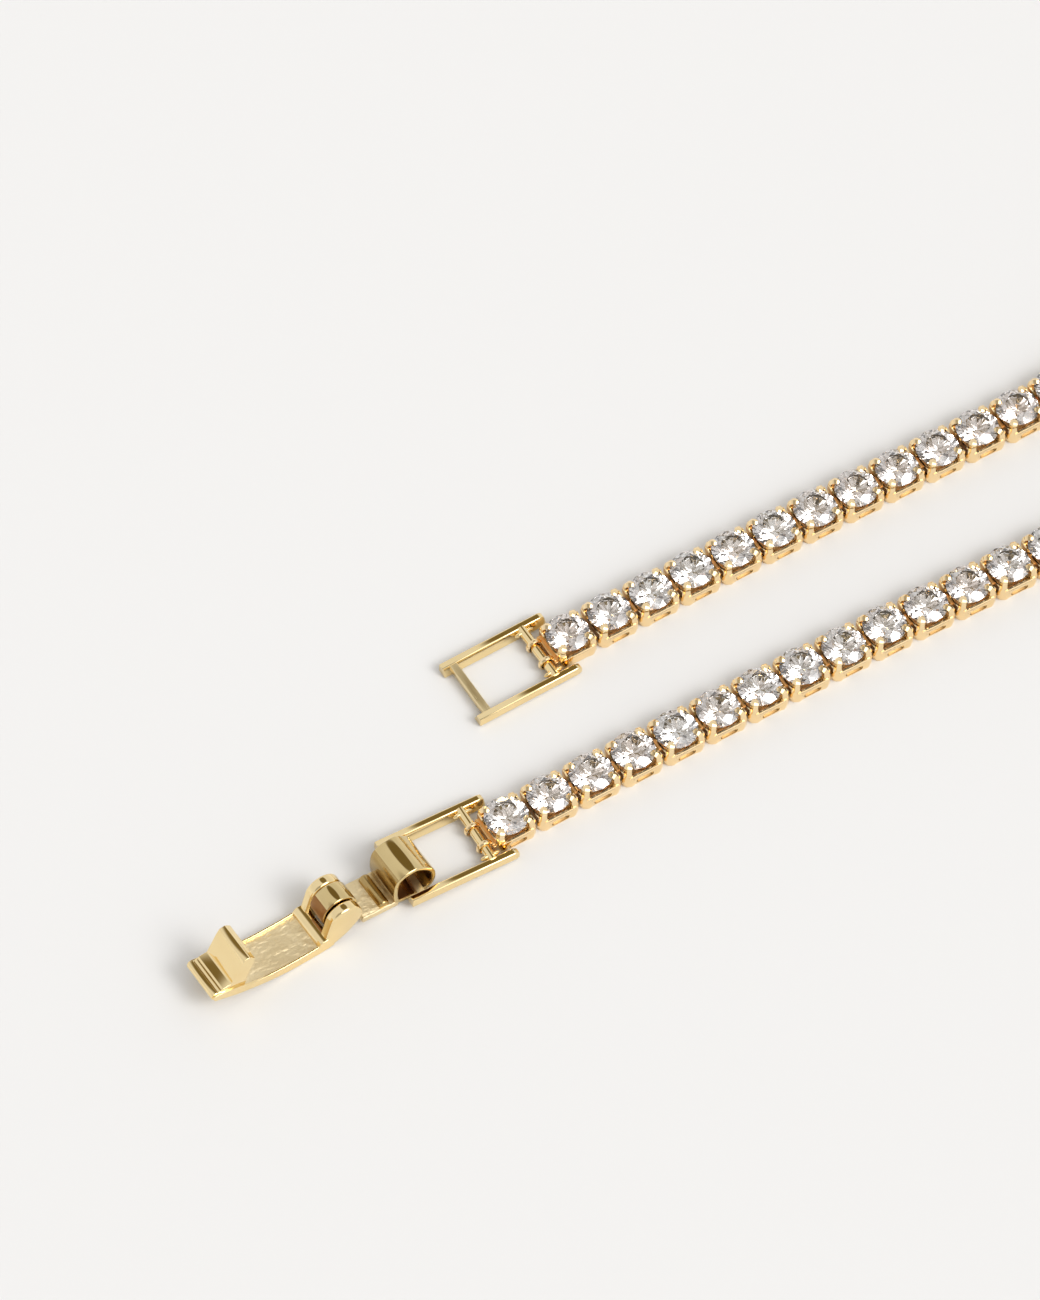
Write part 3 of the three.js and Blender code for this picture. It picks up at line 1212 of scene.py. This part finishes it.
def joint_place(name: str) -> Matrix:
    """Find a joint's pivot and the turn in plan of its axis.

    Args:
        name: the joint.

    Returns:
        Its place in mm, with +Y along its axis in plan.
    """
    joint = next(j for j in frame["joints"] if j["name"] == name)
    axis = Vector(joint["axis"])
    yaw = math.atan2(-axis.x, axis.y)
    return Matrix.Translation(Vector(joint["pos_m"]) / MM) @ Matrix.Rotation(yaw, 4, "Z")


def tilted(degrees: float) -> Matrix:
    """Return a tilt that lifts the -X end by some degrees."""
    return Matrix.Rotation(math.radians(degrees), 4, "Y")


@dataclass
class LadderFrame:
    """A ladder frame: two rounded side bars, a flat end bar and a round cross bar. Sizes in mm."""

    node: str
    body: str
    joint: str
    tilt: float
    width: float = 5.7
    start: float = -9.1
    end: float = -0.35
    side_base: float = 0.85
    side_top: float = 0.5
    side_low: float = 0.12
    side_height: float = 0.95
    foot_round: float = 0.08
    top_round: float = 0.12
    start_edge: float = 0.06
    start_share: float = 0.93
    tip: float = 0.5
    tip_steps: int = 7
    tip_turn: float = 11.5
    tip_power: float = 0.6
    tip_share: float = 0.35
    narrowing: float = 0.4
    end_bar_x: float = -8.2
    end_bar_width: float = 0.62
    end_bar_low: float = 0.32
    end_bar_high: float = 0.88
    end_bar_edge: float = 0.06
    cross_x: float = -2.35
    cross_level: float = 0.68
    cross_radius: float = 0.37
    cross_sides: int = 24
    blob: float = 0.42
    blob_lift: float = 0.04
    blob_shape: tuple[float, float, float] = (1.9, 0.5, 0.62)

    def steps(self) -> Outline:
        """List the X of each section of a side bar, and its share of the full section.

        Returns:
            (x, share) from the flat start to the round tip.
        """
        bend = self.end - self.tip
        steps = [(self.start, self.start_share), (self.start + self.start_edge, 1.0), (bend, 1.0)]
        for k in range(1, self.tip_steps + 1):
            turn = math.radians(self.tip_turn * k)
            share = max(self.tip_share, math.cos(turn) ** self.tip_power)
            steps.append((bend + self.tip * math.sin(turn), share))
        return steps

    def side_bar(self, side: float) -> BMesh:
        """Build one side bar, round along its top, with a flat start and a round tip.

        Args:
            side: 1 for the +Y bar, -1 for the -Y bar.

        Returns:
            The bar in mm.
        """
        outer = side * self.width / 2
        section = rounded(
            (
                (outer, self.side_low, self.foot_round),
                (outer, self.side_height, self.top_round),
                (outer - side * self.side_top, self.side_height, self.top_round),
                (outer - side * self.side_base, self.side_low, self.foot_round),
            )
        )
        middle = outer - side * self.side_top / 2
        centre = self.side_height * self.narrowing
        bm = bmesh.new()
        cap = bm.faces.new([bm.verts.new((self.start, y, z)) for y, z in section])
        for number, (x, share) in enumerate(self.steps()):
            if number > 0:
                cap = extrude(bm, [cap], keep=number == 1)[1][0]
            for v, (y, z) in zip(cap.verts, section):
                across = middle + (y - middle) * (1.0 + share) / 2
                v.co = (x, across, centre + (z - centre) * share)
        return face_outwards(bm)

    def solder(self, side: float) -> BMesh:
        """Build the soft blob of solder where the cross bar meets a side bar.

        Args:
            side: 1 for the +Y bar, -1 for the -Y bar.

        Returns:
            The blob in mm.
        """
        bm = bmesh.new()
        across = side * (self.width / 2 - self.side_base)
        spot = Vector((self.cross_x, across, self.cross_level + self.blob_lift))
        place = Matrix.Translation(spot) @ Matrix.Diagonal((*self.blob_shape, 1.0))
        bmesh.ops.create_icosphere(bm, subdivisions=3, radius=self.blob, matrix=place)
        return bm

    def build(self) -> list[bpy.types.Object]:
        """Build the frame.

        Returns:
            The finished objects.
        """
        place = joint_place(self.joint) @ tilted(self.tilt)
        place = place @ Matrix.Translation((-self.cross_x, 0.0, -self.cross_level))
        whole = bmesh.new()
        for side in (-1.0, 1.0):
            merge_into(whole, self.side_bar(side), place)
        reach = self.width / 2 - self.side_base / 2
        half = self.end_bar_width / 2
        end_bar = box_between(
            Vector((self.end_bar_x - half, -reach, self.end_bar_low)),
            Vector((self.end_bar_x + half, reach, self.end_bar_high)),
            self.end_bar_edge,
        )
        merge_into(whole, end_bar, place, 1)
        cross = (self.cross_radius, 2 * reach, self.cross_x, self.cross_level, self.cross_sides)
        merge_into(whole, rod(*cross), place)
        for side in (-1.0, 1.0):
            merge_into(whole, self.solder(side), place)
        piece = Piece(f"{self.node}_bars", self.body, "polished_gold", (self.node,))
        return [piece.finish(whole, (POLISHED_GOLD, BRUSHED_GOLD))]


class TongueSlot(IntEnum):
    """Finishes of the tongue, in slot order; fold, cavity and curl hold painted shade."""

    POLISHED = 0
    SATIN = 1
    FOLD = 2
    CAVITY = 3
    CURL_SHADE = 4


@dataclass
class Tongue:
    """The tongue: a strip curled round the end bar, a raised lip, a plate and the middle knuckle.

    Sizes in mm.
    """

    tilt: float = 7.4
    plate_drop: float = 0.25
    plate_edge: float = 0.07
    plate_gap: float = 0.2
    plate_bite: float = 0.5
    hinge_x: float = -6.3
    hinge_level: float = 0.6
    knuckle_radius: float = 1.45
    knuckle_width: float = 1.6
    knuckle_sides: int = 56
    knuckle_round: float = 0.1
    root_reach: float = 0.6
    root_slack: float = 0.02
    root_rise: float = 0.15
    shade_facing: float = 0.3
    shade_level: float = 0.62
    width: float = 3.1
    curl_width: float = 3.2
    curl_round: float = 0.09
    curl_steps: int = 64
    strip: float = 0.36
    thickness: float = 0.55
    shaded_x: float = -1.9
    lip_x: float = -2.75
    lip_radius: float = 0.44
    lip_inset: float = 0.24
    lip_sides: int = 24
    lip_round: float = 0.2
    outline: tuple[tuple[float, float], ...] = (
        (-2.1, 0.0), (-2.2, 1.1), (-2.06, 1.88), (-1.5, 2.4), (-0.8, 2.58), (-0.1, 2.5),
        (0.95, 1.7), (1.38, 0.75), (1.28, -0.25), (0.6, -0.8), (-0.6, -0.88), (-1.75, -0.72),
    )

    def curl(self) -> BMesh:
        """Build the curled strip.

        Returns:
            The strip in mm, about the end bar.
        """
        outer = closed_curve(list(self.outline), self.curl_steps)
        inner = inside_of(outer, self.strip)
        bm = bmesh.new()
        edges = []
        for loop in (outer, inner):
            verts = [bm.verts.new((x, -self.curl_width / 2, z)) for x, z in loop]
            edges += [bm.edges.new((verts[i - 1], verts[i])) for i in range(len(verts))]
        rim = bmesh.ops.bridge_loops(bm, edges=edges)["faces"]
        moved, _ = extrude(bm, rim, keep=True)
        bmesh.ops.translate(bm, verts=moved, vec=(0.0, self.curl_width, 0.0))
        soften(face_outwards(bm), sharp_edges(bm), self.curl_round, RIM_STEPS)
        for f in bm.faces:
            middle = f.calc_center_median()
            near = (math.hypot(middle.x - x, middle.z - z) for x, z in inner)
            lined = any(distance < self.curl_round for distance in near)
            if abs(f.normal.y) < self.shade_facing and (lined or middle.x < self.shaded_x):
                deep = lined and middle.x < 0.0
                f.material_index = TongueSlot.CAVITY if deep else TongueSlot.FOLD
        return bm

    def plate_low(self) -> float:
        """Return the height of the plate's underside in mm."""
        return self.hinge_level - self.knuckle_radius - self.plate_drop

    def plate(self) -> BMesh:
        """Build the flat plate from the curl to the hinge."""
        low = self.plate_low()
        start = Vector((self.hinge_x + self.knuckle_radius + self.plate_gap, -self.width / 2, low))
        end = Vector((self.outline[0][0] + self.plate_bite, self.width / 2, low + self.thickness))
        return box_between(start, end, self.plate_edge)

    def lip(self) -> BMesh:
        """Build the rolled lip that lies across the plate in front of the curl."""
        top = self.plate_low() + self.thickness
        length = self.width - self.lip_inset
        return rod(self.lip_radius, length, self.lip_x, top, self.lip_sides, self.lip_round)

    def knuckle(self) -> BMesh:
        """Build the middle knuckle with its root, its lower left in shade.

        Returns:
            The knuckle in mm, about the end bar.
        """
        low = self.hinge_level - self.knuckle_radius
        start = self.hinge_x + self.knuckle_radius + self.root_reach
        barrel = (self.knuckle_radius, self.knuckle_width, self.hinge_x, self.hinge_level)
        bm = rod(*barrel, self.knuckle_sides, self.knuckle_round)
        for f in bm.faces:
            if f.normal.x < -self.shade_facing and f.normal.z < self.shade_level:
                f.material_index = TongueSlot.CAVITY
        root = [
            (self.hinge_x + self.plate_gap, low - TOUCH),
            (start, low - self.plate_drop + self.root_slack),
            (start, low - self.plate_drop + self.thickness - self.root_slack),
            (
                self.hinge_x + self.knuckle_radius - self.root_rise,
                low + self.thickness + self.root_rise,
            ),
            (self.hinge_x, self.hinge_level),
        ]
        width = self.knuckle_width - 2 * self.root_slack
        merge_into(bm, side_view(root, width), Matrix.Identity(4))
        return bm

    def build(self) -> list[bpy.types.Object]:
        """Build the tongue.

        Returns:
            The finished objects.
        """
        place = joint_place("tongue_swing") @ tilted(self.tilt)
        whole = bmesh.new()
        merge_into(whole, self.curl(), place)
        merge_into(whole, self.knuckle(), place)
        # The curl's and the knuckle's polished faces take the darker gold of painted shade.
        for f in whole.faces:
            if f.material_index == TongueSlot.POLISHED:
                f.material_index = TongueSlot.CURL_SHADE
        merge_into(whole, self.lip(), place, TongueSlot.FOLD)
        merge_into(whole, self.plate(), place, TongueSlot.SATIN)
        piece = Piece("tongue_strip", "tongue", "polished_gold", ("clasp_tongue",))
        finishes = (POLISHED_GOLD, SATIN_GOLD, FOLD_GOLD, CAVITY_GOLD, CURL_SHADE_GOLD)
        return [piece.finish(whole, finishes)]


@dataclass
class Lever:
    """The lever: an arched plate with a tray, two ears and the folded hook.

    Sizes in mm about the hinge, angles in degrees.
    """

    width: float = 3.5
    rim: float = 0.16
    hook_width: float = 3.2
    hook_angle: float = 70.0
    hook_round: float = 0.17
    ear_radius: float = 1.35
    ear_thickness: float = 0.84
    ear_round: float = 0.2
    ear_start: float = -40.0
    ear_turn: float = 200.0
    ear_steps: int = 22
    knuckle_width: float = 1.6
    gap: float = 0.1
    edge: float = 0.05
    tray_depth: float = 0.2
    tray_start: float = -8.9
    tray_end: float = -2.4
    tray_facing: float = 0.6
    top: tuple[tuple[float, float], ...] = (
        (-2.0, -1.08), (-2.18, -1.14), (-2.38, -1.4), (-3.2, -1.42), (-4.0, -1.42),
        (-4.7, -1.4), (-5.4, -1.36), (-6.2, -1.27), (-7.0, -1.15), (-8.0, -0.9),
        (-8.9, -0.5), (-10.76, 0.08), (-11.06, 0.02), (-11.16, -0.2),
    )
    under: tuple[tuple[float, float], ...] = (
        (-11.04, -0.5), (-9.3, -1.25), (-7.9, -1.68), (-7.0, -1.9), (-6.0, -2.12),
        (-5.1, -2.24), (-4.2, -2.3), (-3.3, -2.32), (-2.4, -2.32), (-1.6, -2.28),
        (-1.1, -2.18), (-1.1, -1.8), (-1.5, -1.7), (-1.5, -1.1),
    )
    hook: tuple[tuple[float, float, float], ...] = (
        (-11.12, -0.45, 0.0), (-11.26, -0.12, 0.14), (-11.14, 0.18, 0.2), (-10.76, 0.2, 0.04),
        (-10.64, 0.1, 0.05), (-10.5, 0.22, 0.06), (-10.36, 0.12, 0.05), (-10.24, 0.24, 0.04),
        (-9.55, 0.27, 0.12), (-8.72, 1.88, 0.12), (-8.42, 2.32, 0.2), (-7.95, 2.36, 0.18),
        (-7.5, 1.92, 0.2), (-7.62, 1.4, 0.2), (-8.2, 0.2, 0.0), (-8.5, -0.85, 0.0),
        (-9.3, -1.05, 0.0),
    )
    ear_foot: tuple[tuple[float, float], ...] = (
        (-1.7, -1.05), (-2.15, -1.5), (-2.3, -2.28), (-1.6, -2.27), (-0.9, -2.12), (0.1, -1.66),
    )

    def in_tray(self, face: BMFace) -> bool:
        """Say whether a face is part of the tray's floor.

        Args:
            face: a face of the plate.

        Returns:
            True if it is.
        """
        middle = face.calc_center_median()
        upward = abs(middle.y) < TOUCH and face.normal.z > self.tray_facing
        return upward and self.tray_start < middle.x < self.tray_end

    def plate(self) -> BMesh:
        """Build the arched plate and sink the tray into it.

        Returns:
            The plate in mm.
        """
        bm = bmesh.new()
        ring = [bm.verts.new((x, -self.width / 2, z)) for x, z in (*self.top, *self.under)]
        face = bm.faces.new(ring)
        for number, step in enumerate((self.rim, self.width - 2 * self.rim, self.rim)):
            moved, (face,) = extrude(bm, [face], keep=number == 0)
            bmesh.ops.translate(bm, verts=moved, vec=(0.0, step, 0.0))
        face_outwards(bm)
        sunk, _ = extrude(bm, [f for f in bm.faces if self.in_tray(f)])
        bmesh.ops.translate(bm, verts=sunk, vec=(0.0, 0.0, -self.tray_depth))
        for f in bm.faces:
            f.material_index = 1 if self.in_tray(f) else 0
        return bm

    def ear(self, side: float) -> BMesh:
        """Build one ear, a disc that runs down into the plate.

        Args:
            side: 1 for the +Y ear, -1 for the -Y ear.

        Returns:
            The ear in mm.
        """
        arc = []
        for k in range(self.ear_steps + 1):
            turn = math.radians(self.ear_start + self.ear_turn * k / self.ear_steps)
            arc.append((self.ear_radius * math.cos(turn), self.ear_radius * math.sin(turn)))
        centre = side * (self.knuckle_width / 2 + self.gap + self.ear_thickness / 2)
        bm = side_view([*self.ear_foot, *arc], self.ear_thickness, centre)
        soften(bm, sharp_edges(bm), self.ear_round, 4)
        return bm

    def folded_hook(self) -> BMesh:
        """Build the folded hook at the free end."""
        bm = side_view(rounded(self.hook), self.hook_width)
        soften(bm, sharp_edges(bm, self.hook_angle), self.hook_round, 4)
        return bm

    def build(self) -> list[bpy.types.Object]:
        """Build the lever.

        Returns:
            The finished objects.
        """
        whole = bmesh.new()
        for part in (self.plate(), self.ear(1.0), self.ear(-1.0), self.folded_hook()):
            merge_into(whole, part, joint_place("lever_fold"))
        replaced = ("clasp_lever",)
        piece = Piece("lever_plate", "lever", "polished_gold", replaced, edge=self.edge)
        return [piece.finish(whole, (POLISHED_GOLD, SATIN_GOLD))]


# ---------------------------------------------------------------- studio


@dataclass(frozen=True)
class SkyPatch:
    """A round patch of the sky that is brighter or darker than the rest. Angles in degrees.

    Attributes:
        bearing: direction in plan, from +X towards +Y.
        height: height above the floor.
        inner: radius of the full effect.
        outer: radius where the effect ends.
        colour: colour of the patch.
    """

    bearing: float
    height: float
    inner: float
    outer: float
    colour: tuple[float, float, float]

    def towards(self) -> Vector:
        """Return the unit vector to the patch."""
        b, h = math.radians(self.bearing), math.radians(self.height)
        return Vector((math.cos(h) * math.cos(b), math.cos(h) * math.sin(b), math.sin(h)))


@dataclass
class Studio:
    """Plain pale floor, soft light and the camera. Lengths in metres, angles in degrees."""

    elevation: float = 57.0
    azimuth: float = 31.31
    distance: float = 0.45
    scale: float = 13.738
    image_width: int = 1040
    sensor: float = 36.0
    near: float = 0.01
    far: float = 20.0
    aim: tuple[float, float] = (8.73, 12.49)
    floor_size: float = 3.0
    lamp_bearing: float = -62.0
    lamp_height: float = 45.0
    lamp_angle: float = 24.0
    lamp_power: float = 1.0
    lamp_colour: tuple[float, float, float] = (1.0, 0.99, 0.985)
    heights: tuple[tuple[float, float, float, float], ...] = (
        (0.0, 0.95, 0.95, 0.96),
        (0.5, 0.8, 0.8, 0.815),
        (1.0, 0.84, 0.84, 0.84),
    )
    patches: tuple[SkyPatch, ...] = (
        SkyPatch(205.0, 55.0, 18.0, 32.0, (0.42, 0.4, 0.37)),
        SkyPatch(-66.0, 48.0, 24.0, 27.0, (2.4, 2.4, 2.42)),
        SkyPatch(57.0, 58.0, 13.0, 18.0, (0.2, 0.15, 0.06)),
        SkyPatch(-121.3, 57.0, 5.0, 6.5, (0.02, 0.02, 0.02)),
    )

    def target(self) -> Vector:
        """Find the point on the floor that the camera looks at."""
        route = Chain().route()
        return Vector((route.start.x + self.aim[0], route.start.y + self.aim[1], 0.0)) * MM

    def camera(self) -> None:
        """Place the camera."""
        a, e = math.radians(self.azimuth), math.radians(self.elevation)
        forward = Vector((math.sin(a) * math.cos(e), math.cos(a) * math.cos(e), -math.sin(e)))
        data = bpy.data.cameras.new("camera")
        data.sensor_fit = "HORIZONTAL"
        data.sensor_width = self.sensor
        data.lens = self.sensor * self.scale * (self.distance / MM) / self.image_width
        data.clip_start = self.near
        data.clip_end = self.far
        obj = add_object("camera", data)
        obj.location = self.target() - forward * self.distance
        obj.rotation_euler = forward.to_track_quat("-Z", "Y").to_euler()
        bpy.context.scene.camera = obj

    def floor(self) -> None:
        """Lay the floor."""
        bm = bmesh.new()
        bmesh.ops.create_grid(bm, x_segments=8, y_segments=8, size=self.floor_size / 2)
        mesh = as_mesh(bm, "floor")
        mesh.materials.append(FloorFinish().material())
        obj = add_object("floor", mesh)

    def sun(self) -> None:
        """Hang the wide soft lamp that gives the shadows their direction."""
        data = bpy.data.lights.new("soft_lamp", "SUN")
        data.angle = math.radians(self.lamp_angle)
        data.energy = self.lamp_power
        data.color = self.lamp_colour
        obj = add_object("soft_lamp", data)
        away = SkyPatch(self.lamp_bearing, self.lamp_height, 0.0, 0.0, self.lamp_colour).towards()
        obj.location = self.target() + away * self.distance
        obj.rotation_euler = (-away).to_track_quat("-Z", "Y").to_euler()

    def sky(self) -> None:
        """Surround the floor with a pale studio, a little dimmer above, and its patches."""
        world = bpy.data.worlds.new("studio")
        bpy.context.scene.world = world
        world.use_nodes = True
        tree = world.node_tree
        where = add_node(tree, "TexCoord")
        parts = add_node(tree, "SeparateXYZ")
        ramp = add_node(tree, "ValToRGB")
        wire(tree, (where, "Generated", parts, "Vector"), (parts, "Z", ramp, "Fac"))
        steps = ramp.color_ramp.elements
        while len(steps) < len(self.heights):
            steps.new(0.5)
        for step, (level, *colour) in zip(steps, self.heights):
            step.position = level
            step.color = (*colour, 1.0)
        painted = (ramp, "Color")
        for patch in self.patches:
            dot = add_node(tree, "VectorMath", operation="DOT_PRODUCT")
            edge = add_node(tree, "MapRange", interpolation_type="SMOOTHSTEP")
            paint = add_node(tree, "Mix", data_type="RGBA")
            give(dot, {1: patch.towards()})
            give(edge, {"From Min": math.cos(math.radians(patch.outer))})
            give(edge, {"From Max": math.cos(math.radians(patch.inner))})
            give(paint, {7: (*patch.colour, 1.0)})
            wire(
                tree,
                (where, "Generated", dot, 0),
                (dot, "Value", edge, "Value"),
                (edge, "Result", paint, "Factor"),
                (*painted, paint, 6),
            )
            painted = (paint, 2)
        wire(tree, (*painted, tree.nodes["Background"], "Color"))

    def build(self) -> None:
        """Build the whole studio."""
        self.floor()
        self.sky()
        self.sun()
        self.camera()
        bpy.context.scene.view_settings.view_transform = "Standard"
        bpy.context.scene.view_settings.look = "None"


def dress_cad() -> None:
    """Give the CAD nodes that stay their real finish."""
    pin = frame["nodes"]["hinge_pin"]
    pin.data.materials.clear()
    pin.data.materials.append(POLISHED_GOLD.material())


def main() -> None:
    """Build the necklace and its studio, in order."""
    logging.basicConfig(level=logging.INFO, format="%(name)s: %(message)s")
    made = []
    Studio().build()
    for part in (
        Chain(),
        LadderFrame("hook_frame", "hook_frame", "hook_frame_swing", 2.5),
        LadderFrame("catch_frame", "catch_frame", "catch_frame_swing", 0.0),
        Tongue(),
        Lever(),
    ):
        made.extend(part.build())
    dress_cad()
    LOG.info("%d pieces made", len(made))


if __name__ == "__main__":
    main()
